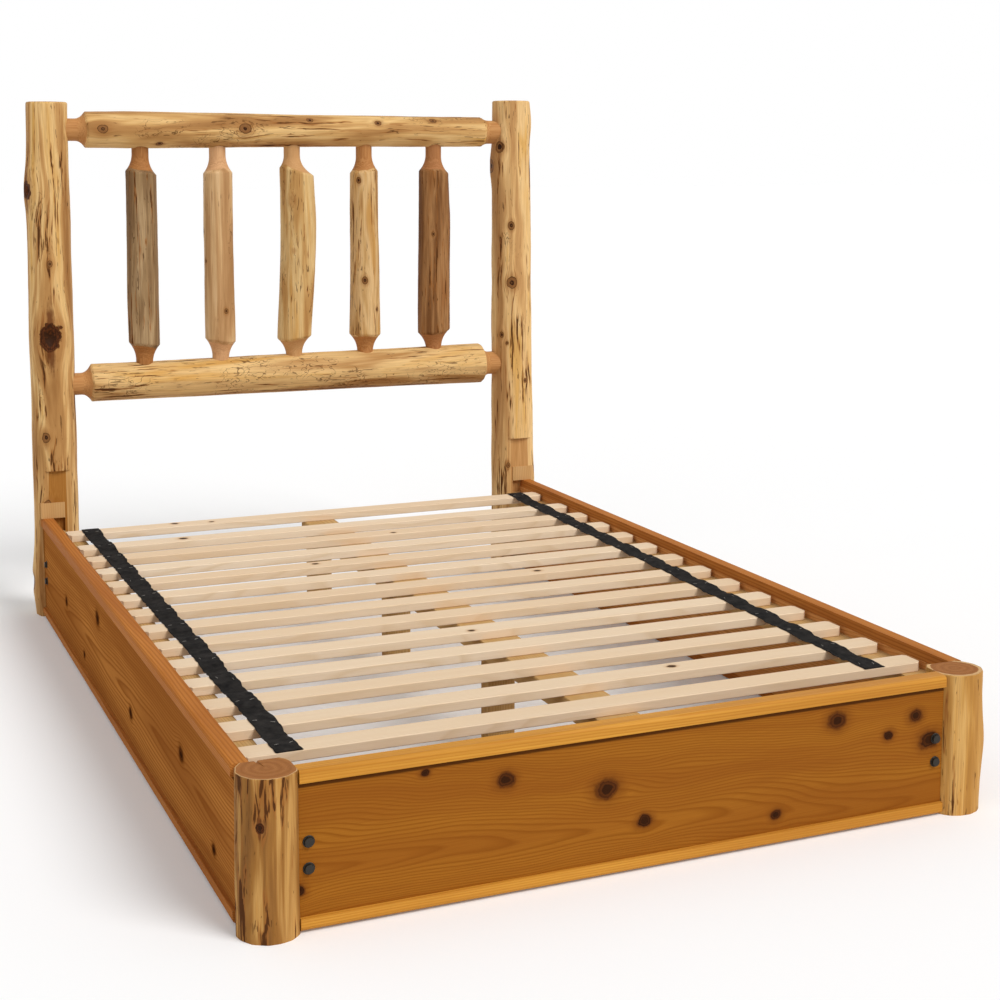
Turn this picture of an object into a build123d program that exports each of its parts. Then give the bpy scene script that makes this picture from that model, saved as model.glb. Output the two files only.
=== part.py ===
import os
from math import cos, pi, radians, sin

from build123d import *

os.makedirs("parts", exist_ok=True)

# Plan. X runs across the bed and +Y towards the head. The origin is on the floor,
# midway between the axes of the four posts.
post_spacing_x = 1385
post_spacing_y = 2098
post_x = post_spacing_x / 2
head_y = post_spacing_y / 2
foot_y = -head_y

# Fits. A round tenon or a bolt is this much smaller in radius than its hole.
fit_clearance = 0.3

# Logs. They are peeled with a drawknife, which leaves long narrow facets, and the
# radius wavers around each cross-section. Radii and sideways drifts are given at
# evenly spaced rings, from the floor up or from left to right.
log_facets = 16
log_waver = 0.03
tall_top_easing = 9
foot_top_easing = 4

tall_left_rise = 74
tall_left_radii = (62.5, 63, 62, 61.5, 60.5, 59.5, 56.5)
tall_left_drifts = (-1.5, -2, -1.5, -1.5, -1, 0, 1.5)

tall_right_rise = 94
tall_right_radii = (68, 68.5, 65, 63, 61.5, 59.5, 57)
tall_right_drifts = (9, 10, 5.5, 3, 1.5, -0.5, -2.5)

foot_post_radii = (55, 54.5, 54, 53.5)
foot_post_drifts = (0, 1, 0.5, 0)

# Domes left on the logs where branches were cut off.
knot_radius = 28
knot_rise = 12
knot_sides = 9
knot_taper = 14
low_knot_z = 96
inner_knot_z = 1239
top_knot_z = 1372

# Deck. A rim of upright boards, each with a wider trim strip along its top and
# bottom edges, stands level with the foot posts.
deck_height = 278
board_height = 230
board_thickness = 26
trim_width = 32
trim_thickness = 22
trim_overhang = 8
trim_rounding = 7
side_trim_reach = 50
foot_trim_reach = 36

# Flats sawn on the posts for the deck. Each is given by its distance from the
# post's axis.
side_rail_seat = 38
foot_board_seat = 46
tall_flat_seat = 50.6
tall_flat_height = 410
tall_notch_height = 321

# Corner cleats join boards to posts.
cleat_width = 51
cleat_thickness = 30
cleat_height = 190
cleat_foot = 50
head_block_depth = 15

# Slat roll on its ledgers.
slat_count = 14
slat_width = 56
slat_thickness = 19
slat_end_gap = 9.5
slat_edge = 1.5
slat_corner = 8
slat_stagger = 1
slat_skew = 4
head_slat_gap = 152
head_slat_shift = 45
foot_slat_gap = 103
slat_drop = 18
ledger_width = 60
ledger_height = 38

# Webbing straps stapled across the slats. An inset is from the slats' ends to the
# strap's middle.
strap_width = 46
strap_thickness = 2
strap_left_head_inset = 69
strap_left_foot_inset = 79
strap_right_head_inset = 63
strap_right_foot_inset = 116

# Centre beam with its legs, and the block that carries it at the foot board.
beam_width = 89
beam_thickness = 38
beam_x = 8
beam_head_gap = 175
beam_edge = 2
leg_count = 3
leg_width = 64
leg_depth = 38
beam_seat_width = 140
beam_seat_height = 90

# Headboard rails, given like the logs above.
top_rail_z = 1340
top_rail_radii = (50.5, 51.5, 49.5, 47.5, 46, 45.5, 45)
bottom_rail_z = 640
bottom_rail_radii = (52, 52.5, 54, 55.5, 56, 57, 59)
left_tenon_radius = 29
right_tenon_radius = 33
rail_full_reach = 588
rail_flare_length = 28
tenon_shoulder = 1.5
tenon_past_axis = 14
tenon_end_gap = 1.5

# Flares from a neck to its log, as arcs of an ellipse.
flare_sweep = 45
flare_steps = 4

# Spindles. Radii and drifts run from the bottom up, and necks are measured from the
# rail axes.
spindle_pitch = 219
spindle_radii = (
    (44, 44.5, 43.5, 43),
    (43, 42, 41.5, 41),
    (50, 51.5, 52.5, 50),
    (47, 45.5, 45, 44),
    (48, 48, 47, 44),
)
spindle_drifts = ((0, 0, 1, 1), (0, -1, -1, 0), (2, 12, 18, 14), (0, 1, 0, 0), (0, 0, 2, 0))
spindle_tenon_radius = 21.8
spindle_tenon_stop = 12
spindle_flare_length = 45
low_neck_length = 62
high_neck_length = 72

# Hexagon lag bolts at the four corners.
bolt_radius = 4.75
bolt_length = 42
bolt_flats = 15
bolt_head_height = 6.5
bolt_low_z = 108
bolt_rise = 46
head_bolt_inset = 34
foot_bolt_inset = 16.5

# Levels and faces that follow from the sizes above.
board_top = deck_height - trim_thickness
board_bottom = board_top - board_height
trim_bottom = board_bottom - trim_thickness
slat_top = deck_height - slat_drop
slat_bottom = slat_top - slat_thickness
side_board_outer = post_x + side_trim_reach - trim_overhang
side_board_inner = side_board_outer - board_thickness
side_rail_reach = side_board_inner - cleat_thickness
foot_board_front = foot_y - foot_trim_reach + trim_overhang
foot_board_back = foot_board_front + board_thickness
foot_board_end = post_x - foot_board_seat
side_rail_foot = foot_y + side_rail_seat
side_rail_head = head_y - side_rail_seat

# Solids stand on their places, centred.
upward = (Align.CENTER, Align.CENTER, Align.MIN)


def save(piece, node):
    piece.part.label = node
    export_step(piece.part, f"parts/{node}.step")


# One cross-section of a log: a many-sided figure whose radius wavers. The rings of
# one log share their turn, so that the facets run true along it.
def ring(plane, radius, turn):
    points = []
    for facet in range(log_facets):
        angle = 2 * pi * facet / log_facets
        reach = radius * (1 + log_waver * (sin(2 * angle + turn) + sin(3 * angle - 2 * turn)) / 2)
        points.append((reach * cos(angle), reach * sin(angle)))
    with BuildSketch(plane) as section:
        Polygon(*points, align=None)
    return section.sketch


# Evenly spaced rings of an upright log, each drifted sideways along X.
def upright_rings(x, y, low, high, radii, drifts, turn):
    spacing = (high - low) / (len(radii) - 1)
    return [
        ring(Plane((x + drift, y, low + step * spacing)), radius, turn)
        for step, (radius, drift) in enumerate(zip(radii, drifts))
    ]


# Rings that close in over the eased top edge of a post.
def easing_rings(x, y, height, easing, radius, turn):
    return [
        ring(Plane((x, y, height - easing * (1 - sin(angle)))), radius - easing * (1 - cos(angle)), turn)
        for angle in (pi / 5, 2 * pi / 5, pi / 2)
    ]


# Stations along a flare: the shares of its length and of its rise that are reached.
def flare_stations():
    sweep = radians(flare_sweep)
    angles = [sweep * (step / flare_steps) ** 0.75 for step in range(flare_steps)]
    return [(sin(angle) / sin(sweep), (1 - cos(angle)) / (1 - cos(sweep))) for angle in angles]


# Rings of a headboard rail from left to right, with a flare at each end.
def rail_rings(z, radii, turn):
    spacing = 2 * rail_full_reach / (len(radii) - 1)
    left_neck = left_tenon_radius + tenon_shoulder
    right_neck = right_tenon_radius + tenon_shoulder
    flare_start = rail_full_reach + rail_flare_length
    stations = [
        (length * rail_flare_length - flare_start, left_neck + rise * (radii[0] - left_neck))
        for length, rise in flare_stations()
    ]
    stations += [(step * spacing - rail_full_reach, radius) for step, radius in enumerate(radii)]
    stations += [
        (flare_start - length * rail_flare_length, right_neck + rise * (radii[-1] - right_neck))
        for length, rise in reversed(flare_stations())
    ]
    return [
        ring(Plane((x, head_y, z), x_dir=(0, 1, 0), z_dir=(1, 0, 0)), radius, turn)
        for x, radius in stations
    ]


# Rings of a spindle from the bottom up. A drifted log's flares lean over to it.
def spindle_rings(x, radii, drifts, turn):
    neck = spindle_tenon_radius + tenon_shoulder
    low_neck = bottom_rail_z + low_neck_length
    high_neck = top_rail_z - high_neck_length
    low_flare = [
        ring(
            Plane((x + rise * drifts[0], head_y, low_neck + length * spindle_flare_length)),
            neck + rise * (radii[0] - neck),
            turn,
        )
        for length, rise in flare_stations()
    ]
    high_flare = [
        ring(
            Plane((x + rise * drifts[-1], head_y, high_neck - length * spindle_flare_length)),
            neck + rise * (radii[-1] - neck),
            turn,
        )
        for length, rise in reversed(flare_stations())
    ]
    low_shoulder = low_neck + spindle_flare_length
    high_shoulder = high_neck - spindle_flare_length
    return low_flare + upright_rings(x, head_y, low_shoulder, high_shoulder, radii, drifts, turn) + high_flare


# Tall posts. The flat faces the deck, and the deeper notch in it takes the end
# of the side rail and its cleat. Each knot is given by its facing and its height.
tall_left_knots = ((-1, low_knot_z),)
tall_right_knots = ((1, top_knot_z), (-1, inner_knot_z))
for side, node, rise, radii, drifts, knots in (
    (-1, "tall_post_left", tall_left_rise, tall_left_radii, tall_left_drifts, tall_left_knots),
    (1, "tall_post_right", tall_right_rise, tall_right_radii, tall_right_drifts, tall_right_knots),
):
    height = top_rail_z + rise
    tenon_radius = left_tenon_radius if side < 0 else right_tenon_radius
    spacing = height / (len(radii) - 1)
    with BuildPart() as tall_post:
        top_x = side * post_x + drifts[-1]
        rings = upright_rings(side * post_x, head_y, 0, height - tall_top_easing, radii, drifts, side)
        rings += easing_rings(top_x, head_y, height, tall_top_easing, radii[-1], side)
        loft(rings, ruled=True)
        for facing, knot_z in knots:
            step = round(knot_z / spacing)
            surface = side * post_x + drifts[step] + facing * radii[step]
            knot_base = Plane((surface - facing * knot_radius, head_y, knot_z), z_dir=(facing, 0, 0))
            with BuildSketch(knot_base) as knot:
                RegularPolygon(knot_radius, knot_sides)
            extrude(amount=knot_radius + knot_rise, taper=knot_taper)
        with BuildSketch(Plane.XY) as flat:
            with Locations((side * post_x, head_y - tall_flat_seat)):
                Rectangle(3 * radii[0], 2 * radii[0], align=(Align.CENTER, Align.MAX))
        extrude(amount=tall_flat_height, mode=Mode.SUBTRACT)
        with BuildSketch(Plane.XY) as notch:
            with Locations((side * (side_rail_reach - fit_clearance), side_rail_head)):
                outward = Align.MIN if side > 0 else Align.MAX
                Rectangle(2 * radii[0], 2 * radii[0], align=(outward, Align.MAX))
        extrude(amount=tall_notch_height, mode=Mode.SUBTRACT)
        for rail_z in (bottom_rail_z, top_rail_z):
            with Locations(Plane((0, head_y, rail_z), z_dir=(side, 0, 0))):
                mortise_depth = post_x + tenon_past_axis + tenon_end_gap
                Cylinder(tenon_radius + fit_clearance, mortise_depth, align=upward, mode=Mode.SUBTRACT)
    save(tall_post, node)

# Foot posts, level with the deck, with a flat for the foot board and one for
# the side rail.
for side, node in ((-1, "foot_post_left"), (1, "foot_post_right")):
    with BuildPart() as foot_post:
        drifts = [side * drift for drift in foot_post_drifts]
        body_height = deck_height - foot_top_easing
        rings = upright_rings(side * post_x, foot_y, 0, body_height, foot_post_radii, drifts, 2 * side)
        top_x = side * post_x + drifts[-1]
        rings += easing_rings(top_x, foot_y, deck_height, foot_top_easing, foot_post_radii[-1], 2 * side)
        loft(rings, ruled=True)
        if side > 0:
            knot_base = Plane(
                (post_x + foot_post_radii[1] - knot_radius, foot_y, deck_height / 2),
                z_dir=(1, 0, 0),
            )
            with BuildSketch(knot_base) as knot:
                RegularPolygon(knot_radius, knot_sides)
            extrude(amount=knot_radius + knot_rise, taper=knot_taper)
        with BuildSketch(Plane.XY) as flats:
            with Locations((0, foot_y)):
                Rectangle(2 * foot_board_end, 4 * foot_post_radii[0])
            with Locations((side * post_x, side_rail_foot)):
                Rectangle(4 * foot_post_radii[0], foot_post_radii[0], align=(Align.CENTER, Align.MIN))
        extrude(amount=deck_height, mode=Mode.SUBTRACT)
    save(foot_post, node)

# Headboard rails, with round mortises below or above for the spindles.
spindle_count = len(spindle_radii)
spindle_xs = [(index - (spindle_count - 1) / 2) * spindle_pitch for index in range(spindle_count)]
for node, rail_z, radii, spindle_side, turn in (
    ("headboard_top_rail", top_rail_z, top_rail_radii, -1, 1),
    ("headboard_bottom_rail", bottom_rail_z, bottom_rail_radii, 1, 4),
):
    with BuildPart() as rail:
        loft(rail_rings(rail_z, radii, turn), ruled=True)
        for side, tenon_radius in ((-1, left_tenon_radius), (1, right_tenon_radius)):
            with Locations(Plane((side * (post_x + tenon_past_axis), head_y, rail_z), z_dir=(-side, 0, 0))):
                Cylinder(tenon_radius, post_x + tenon_past_axis - rail_full_reach, align=upward)
        mortise_bottom = rail_z + spindle_side * (spindle_tenon_stop - tenon_end_gap)
        with Locations(*[Plane((x, head_y, mortise_bottom), z_dir=(0, 0, spindle_side)) for x in spindle_xs]):
            Cylinder(spindle_tenon_radius + fit_clearance, max(radii), align=upward, mode=Mode.SUBTRACT)
    save(rail, node)

# Spindles between the rails.
for index, x in enumerate(spindle_xs):
    with BuildPart() as spindle:
        loft(spindle_rings(x, spindle_radii[index], spindle_drifts[index], 2 * index), ruled=True)
        with Locations((x, head_y, bottom_rail_z + spindle_tenon_stop)):
            Cylinder(spindle_tenon_radius, top_rail_z - bottom_rail_z - 2 * spindle_tenon_stop, align=upward)
    save(spindle, f"spindle_{index + 1}")

# Side rails. The left one is built and the right one mirrored from it: an upright
# board between the seats on the posts, with a trim strip on each edge, a ledger for
# the slats and a cleat at each end.
rail_middle = (side_rail_foot + side_rail_head) / 2
rail_length = side_rail_head - side_rail_foot
trim_centre_x = post_x + side_trim_reach - trim_width / 2
bolt_levels = (bolt_low_z, bolt_low_z + bolt_rise)
head_bolt_y = side_rail_head - head_bolt_inset
foot_bolt_x = foot_board_end - foot_bolt_inset
head_bolt_planes = [
    Plane((side * side_board_outer, head_bolt_y, z), z_dir=(side, 0, 0))
    for side in (-1, 1)
    for z in bolt_levels
]
foot_bolt_planes = [
    Plane((side * foot_bolt_x, foot_board_front, z), z_dir=(0, -1, 0))
    for side in (-1, 1)
    for z in bolt_levels
]
bolt_hole_depth = bolt_length + tenon_end_gap


def save_pair(left, node):
    save(left, f"{node}_left")
    with BuildPart() as right:
        mirror(left.part, about=Plane.YZ)
    save(right, f"{node}_right")


with BuildPart() as side_board:
    with Locations((-(side_board_outer + side_board_inner) / 2, rail_middle, board_bottom)):
        Box(board_thickness, rail_length, board_height, align=upward)
    with Locations(*[plane.location for plane in head_bolt_planes[:2]]):
        Hole(bolt_radius + fit_clearance, depth=bolt_hole_depth)
save_pair(side_board, "side_panel")

for node, level, rounded in (("side_top_trim", board_top, 1), ("side_bottom_trim", trim_bottom, 0)):
    with BuildPart() as side_trim:
        with Locations((-trim_centre_x, rail_middle, level)):
            Box(trim_width, rail_length, trim_thickness, align=upward)
        outer_edges = side_trim.edges().filter_by(Axis.Y).group_by(Axis.X)[0]
        fillet(outer_edges.sort_by(Axis.Z)[-rounded], trim_rounding)
    save_pair(side_trim, node)

ledger_foot = side_rail_foot + cleat_width
ledger_head = side_rail_head - cleat_width
with BuildPart() as ledger:
    with Locations((-side_board_inner, (ledger_foot + ledger_head) / 2, slat_bottom - ledger_height)):
        Box(
            ledger_width,
            ledger_head - ledger_foot,
            ledger_height,
            align=(Align.MIN, Align.CENTER, Align.MIN),
        )
save_pair(ledger, "ledger")

with BuildPart() as head_cleat:
    with Locations((-side_board_inner, side_rail_head, cleat_foot)):
        Box(cleat_thickness, cleat_width, cleat_height, align=(Align.MIN, Align.MAX, Align.MIN))
    with Locations(*[plane.location for plane in head_bolt_planes[:2]]):
        Hole(bolt_radius + fit_clearance, depth=bolt_hole_depth)
save_pair(head_cleat, "head_cleat")

# Blocks that fill the notches in the tall posts above the side rails.
with BuildPart() as head_block:
    with Locations((-side_rail_reach, side_rail_head, deck_height)):
        Box(
            post_x + side_trim_reach - side_rail_reach,
            head_block_depth,
            tall_notch_height - deck_height,
            align=(Align.MAX, Align.MAX, Align.MIN),
        )
save_pair(head_block, "head_block")

with BuildPart() as side_foot_cleat:
    with Locations((-side_board_inner, side_rail_foot, cleat_foot)):
        Box(cleat_thickness, cleat_width, cleat_height, align=(Align.MIN, Align.MIN, Align.MIN))
save_pair(side_foot_cleat, "side_foot_cleat")

# Foot board between the foot posts, built like the side rails.
foot_board_y = (foot_board_front + foot_board_back) / 2
with BuildPart() as foot_board:
    with Locations((0, foot_board_y, board_bottom)):
        Box(2 * foot_board_end, board_thickness, board_height, align=upward)
    with Locations(*[plane.location for plane in foot_bolt_planes]):
        Hole(bolt_radius + fit_clearance, depth=bolt_hole_depth)
save(foot_board, "foot_panel")

for node, level, rounded in (("foot_top_trim", board_top, 1), ("foot_bottom_trim", trim_bottom, 0)):
    with BuildPart() as foot_trim:
        with Locations((0, foot_y - foot_trim_reach, level)):
            Box(2 * foot_board_end, trim_width, trim_thickness, align=(Align.CENTER, Align.MIN, Align.MIN))
        outer_edges = foot_trim.edges().filter_by(Axis.X).group_by(Axis.Y)[0]
        fillet(outer_edges.sort_by(Axis.Z)[-rounded], trim_rounding)
    save(foot_trim, node)

with BuildPart() as foot_cleat:
    with Locations((-foot_board_end, foot_board_back, cleat_foot)):
        Box(cleat_width, cleat_thickness, cleat_height, align=(Align.MIN, Align.MIN, Align.MIN))
    with Locations(*[plane.location for plane in foot_bolt_planes[:2]]):
        Hole(bolt_radius + fit_clearance, depth=bolt_hole_depth)
save_pair(foot_cleat, "foot_cleat")

# Slats, numbered from the head. The roll is laid by hand, so it runs askew and each
# slat ends a little to one side or the other. The first one is pulled towards the
# head, and the rest are evenly spaced.
slat_length = 2 * (side_board_inner - slat_end_gap)
first_slat_y = head_y - head_slat_gap - slat_width / 2
last_slat_y = foot_y + foot_slat_gap + slat_width / 2
slat_pitch = (first_slat_y - head_slat_shift - last_slat_y) / (slat_count - 1)
slat_ys = [first_slat_y - head_slat_shift - index * slat_pitch for index in range(slat_count)]
slat_ys[0] = first_slat_y
for index, slat_y in enumerate(slat_ys):
    slat_x = slat_skew * (1 - 2 * index / (slat_count - 1)) + slat_stagger * sin(2 * index)
    with BuildPart() as slat:
        with Locations((slat_x, slat_y, slat_bottom)):
            Box(slat_length, slat_width, slat_thickness, align=upward)
        chamfer(slat.edges().filter_by(Axis.Z), slat_corner)
        chamfer(slat.edges().filter_by(Axis.X), slat_edge)
    save(slat, f"slat_{index + 1:02d}")

# Straps lie on the slats from the first slat's back edge to the last one's front.
strap_head_y = slat_ys[0] + slat_width / 2
strap_foot_y = last_slat_y - slat_width / 2
for node, side, head_inset, foot_inset in (
    ("strap_left", -1, strap_left_head_inset, strap_left_foot_inset),
    ("strap_right", 1, strap_right_head_inset, strap_right_foot_inset),
):
    head_x = side * (slat_length / 2 - head_inset)
    foot_x = side * (slat_length / 2 - foot_inset)
    with BuildPart() as strap:
        with BuildSketch(Plane.XY.offset(slat_top)) as outline:
            Polygon(
                (head_x - strap_width / 2, strap_head_y),
                (head_x + strap_width / 2, strap_head_y),
                (foot_x + strap_width / 2, strap_foot_y),
                (foot_x - strap_width / 2, strap_foot_y),
                align=None,
            )
        extrude(amount=strap_thickness)
    save(strap, node)

# Centre beam under the slats. Its foot end rests on a block on the foot board, and
# its legs stand at even steps up to its head end.
beam_foot = foot_board_back
beam_head = head_y - beam_head_gap
beam_bottom = slat_bottom - beam_thickness
with BuildPart() as center_beam:
    with Locations((beam_x, (beam_foot + beam_head) / 2, beam_bottom)):
        Box(beam_width, beam_head - beam_foot, beam_thickness, align=upward)
    chamfer(center_beam.edges().filter_by(Axis.Y), beam_edge)
save(center_beam, "center_beam")

with BuildPart() as beam_seat:
    with Locations((beam_x, foot_board_back, beam_bottom - beam_seat_height)):
        Box(beam_seat_width, cleat_thickness, beam_seat_height, align=(Align.CENTER, Align.MIN, Align.MIN))
save(beam_seat, "beam_seat")

leg_step = (beam_head - leg_depth - beam_foot) / leg_count
for index in range(leg_count):
    with BuildPart() as leg:
        with Locations((beam_x, beam_head - leg_depth / 2 - index * leg_step, 0)):
            Box(leg_width, leg_depth, beam_bottom, align=upward)
        chamfer(leg.edges().filter_by(Axis.Z), beam_edge)
    save(leg, f"center_leg_{index + 1}")

# Lag bolts. Each goes in through a board and ends inside its cleat.
bolt_planes = head_bolt_planes + foot_bolt_planes
with BuildPart() as lag_bolts:
    with BuildSketch(*bolt_planes) as heads:
        RegularPolygon(bolt_flats / 2, 6, major_radius=False)
    extrude(amount=bolt_head_height)
    with BuildSketch(*bolt_planes) as shanks:
        Circle(bolt_radius)
    extrude(amount=-bolt_length)
save(lag_bolts, "lag_bolts")
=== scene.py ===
from math import atan2, cos, e, exp, hypot, pi, radians, sin, sqrt
from random import Random

import bmesh
import bpy
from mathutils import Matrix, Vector, noise


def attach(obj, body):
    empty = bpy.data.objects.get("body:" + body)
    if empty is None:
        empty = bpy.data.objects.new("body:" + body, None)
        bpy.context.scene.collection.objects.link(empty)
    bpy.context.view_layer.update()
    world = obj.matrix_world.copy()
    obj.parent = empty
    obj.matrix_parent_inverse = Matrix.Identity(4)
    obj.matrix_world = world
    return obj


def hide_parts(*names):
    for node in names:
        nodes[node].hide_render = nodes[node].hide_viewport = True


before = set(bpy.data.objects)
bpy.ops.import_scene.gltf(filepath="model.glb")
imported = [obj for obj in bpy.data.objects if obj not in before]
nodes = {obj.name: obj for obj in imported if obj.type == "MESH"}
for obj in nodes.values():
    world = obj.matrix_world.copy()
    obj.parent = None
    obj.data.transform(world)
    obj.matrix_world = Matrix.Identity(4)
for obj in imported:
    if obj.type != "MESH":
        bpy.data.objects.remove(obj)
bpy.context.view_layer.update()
print("frame loaded, nodes:", len(nodes))

# what the pieces share with the joinery, in metres from the floor and the middle of the bed
bed = {
    "postX": 0.6925,
    "headY": 1.049,
    "footY": -1.049,
    "deckTop": 0.278,
    "trim": 0.022,
    "sideFace": 0.7345,
    "footFace": 1.077,
    "slatTop": 0.260,
    "headSlatY": 0.869,
    "nextSlatY": 0.690,
    "slatPitch": 0.134,
    "slatWidth": 0.056,
    "slatCount": 14,
    "topRailZ": 1.340,
    "bottomRailZ": 0.640,
}


def smoothStep(value, low, high):
    share = min(max((value - low) / (high - low), 0), 1)
    return share * share * (3 - 2 * share)


def alongCurve(values, share):
    # a smooth curve through evenly spaced values, share running from 0 to 1
    place = min(max(share, 0), 1) * (len(values) - 1)
    first = min(int(place), len(values) - 2)
    part = place - first
    before, start, end, after = [values[min(max(first + step, 0), len(values) - 1)] for step in (-1, 0, 1, 2)]
    rising = (end - before) / 2
    falling = (after - start) / 2
    bend = 2 * (start - end) + rising + falling
    return start + part * (rising + part * (3 * (end - start) - 2 * rising - falling + part * bend))


def tone(red, green, blue):
    # a colour as a screen shows it, from 0 to 255, turned into the shader's own light
    shown = [part / 255 for part in (red, green, blue)]
    return [part / 12.92 if part < 0.04045 else ((part + 0.055) / 1.055) ** 2.4 for part in shown] + [1]


def inLight(look):
    # the threes in a look are colours as a screen shows them
    return {key: tone(*value) if isinstance(value, tuple) else value for key, value in look.items()}


class Flow:
    # one socket of a finish, so that shader maths reads as plain sums
    def __init__(self, finish, socket):
        self.finish = finish
        self.socket = socket

    def math(self, operation, *values):
        # works on this value alone unless others are given
        return self.finish.add("Math", {"operation": operation}, dict(enumerate(values or (self,))))

    def __add__(self, other):
        return self.math("ADD", self, other)

    def __radd__(self, other):
        return self.math("ADD", other, self)

    def __sub__(self, other):
        return self.math("SUBTRACT", self, other)

    def __rsub__(self, other):
        return self.math("SUBTRACT", other, self)

    def __mul__(self, other):
        return self.math("MULTIPLY", self, other)

    def __rmul__(self, other):
        return self.math("MULTIPLY", other, self)

    def __truediv__(self, other):
        return self.math("DIVIDE", self, other)

    def __rtruediv__(self, other):
        return self.math("DIVIDE", other, self)

    def __pow__(self, other):
        return self.math("POWER", self, other)

    def __rpow__(self, other):
        return self.math("POWER", other, self)


class Maker:
    # makes a tree's nodes, one at a time, by add
    def __init__(self, tree):
        self.tree = tree

    def add(self, kind, settings=None, sockets=None, out=None):
        node = self.tree.nodes.new("ShaderNode" + kind)
        for setting, value in (settings or {}).items():
            if setting == "stops":
                self.setStops(node.color_ramp, value)
            else:
                setattr(node, setting, value)
        for place, value in (sockets or {}).items():
            if isinstance(place, str):
                socket = next(socket for socket in node.inputs if socket.enabled and socket.name == place)
            else:
                socket = node.inputs[place]
            self.feed(socket, value)
        made = node.outputs[out] if out else next(socket for socket in node.outputs if socket.enabled)
        return Flow(self, made)

    def setStops(self, ramp, stops):
        while len(ramp.elements) < len(stops):
            ramp.elements.new(1)
        for element, (place, colour) in zip(ramp.elements, stops):
            element.position = place
            element.color = colour

    def feed(self, socket, value):
        if isinstance(value, Flow):
            self.tree.links.new(value.socket, socket)
        else:
            socket.default_value = value

    def most(self, *values):
        # the largest of several values
        result = values[0]
        for value in values[1:]:
            result = result.math("MAXIMUM", result, value)
        return result

    def looking(self):
        # 1 where the camera sees a place itself, in a reflection or through glass
        rays = [self.add("LightPath", out=f"Is {kind} Ray") for kind in ("Camera", "Glossy", "Transmission")]
        return self.most(*rays)


# how the grain swings round a knot, with lengths along the grain squeezed for its shape and for its tails
knotBend = {"shape": 0.8, "tails": 0.12, "pull": 0.62, "fade": 0.22}


class Finish(Maker):
    # a material for a piece of the bed, with its grain along one axis. The shift moves its patterns, so that
    # no two pieces are alike
    def __init__(self, name, axis="z", shift=0):
        self.material = bpy.data.materials.new(name)
        self.material.use_nodes = True
        super().__init__(self.material.node_tree)
        self.surface = self.tree.nodes["Principled BSDF"]
        self.axis, self.shift = axis, shift
        self.spot = self.add("TexCoord", out="Object")
        self.bent = self.spot

    def vector(self, operation, *values, out=None):
        return self.add("VectorMath", {"operation": operation}, dict(enumerate(values)), out)

    def stretched(self, vector, across, along):
        return self.vector("MULTIPLY", vector, [along if letter == self.axis else across for letter in "xyz"])

    def cloud(self, vector, detail=2.0, roughness=0.5, distortion=0.0, shift=0.0):
        moved = self.vector("ADD", vector, (shift, 2 * shift, -shift))
        return self.add("TexNoise", {}, {
            "Vector": moved, "Scale": 1.0, "Detail": detail, "Roughness": roughness, "Distortion": distortion,
        }, out="Fac")

    def grained(self, across, along, detail, roughness=0.5, distortion=0.0, shift=0):
        # a cloud drawn out along the grain, which bends round the knots
        return self.cloud(self.stretched(self.bent, across, along), detail, roughness, distortion,
                          self.shift + shift)

    def even(self, scale, detail, roughness=0.5, shift=0):
        # a cloud that is alike in all directions
        return self.cloud(self.stretched(self.spot, scale, scale), detail, roughness, 0.0, shift)

    def bendRound(self, knots):
        # bends the grain round each knot, and returns for each how far a place is from its middle, in its own
        # size, for its shape and for its tails, and how dark it is
        reaches = []
        for place, size, dark in knots:
            offset = self.vector("SUBTRACT", self.spot, place)
            away, tail = [self.vector("LENGTH", self.stretched(offset, 1.0, knotBend[part]), out="Value") / size
                          for part in ("shape", "tails")]
            pull = e ** (away * away * -knotBend["fade"]) * -knotBend["pull"]
            moved = self.add("VectorMath", {"operation": "SCALE"}, {0: offset, "Scale": pull})
            self.bent = self.vector("ADD", self.bent, moved)
            reaches.append((away, tail, dark))
        return reaches

    def step(self, value, low, high):
        # 0 at low and 1 at high, smooth between
        return self.add("MapRange", {"interpolation_type": "SMOOTHSTEP"},
                        {"Value": value, "From Min": low, "From Max": high})

    def blend(self, share, first, second):
        return self.add("Mix", {"data_type": "RGBA", "clamp_factor": True},
                        {"Factor": share, "A": first, "B": second})

    def colours(self, share, stops):
        return self.add("ValToRGB", {"stops": stops}, {"Fac": share}, out="Color")

    def close(self, colour, roughness, height, reach, shine=0.06):
        # reach is how deep the relief is, in metres
        bump = self.add("Bump", {}, {"Strength": 1.0, "Distance": reach, "Height": height}, out="Normal")
        return self.give({"Base Color": colour, "Roughness": roughness, "Normal": bump,
                          "Specular IOR Level": shine})

    def give(self, values):
        for name, value in values.items():
            self.feed(self.surface.inputs[name], value)
        return self.material


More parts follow.
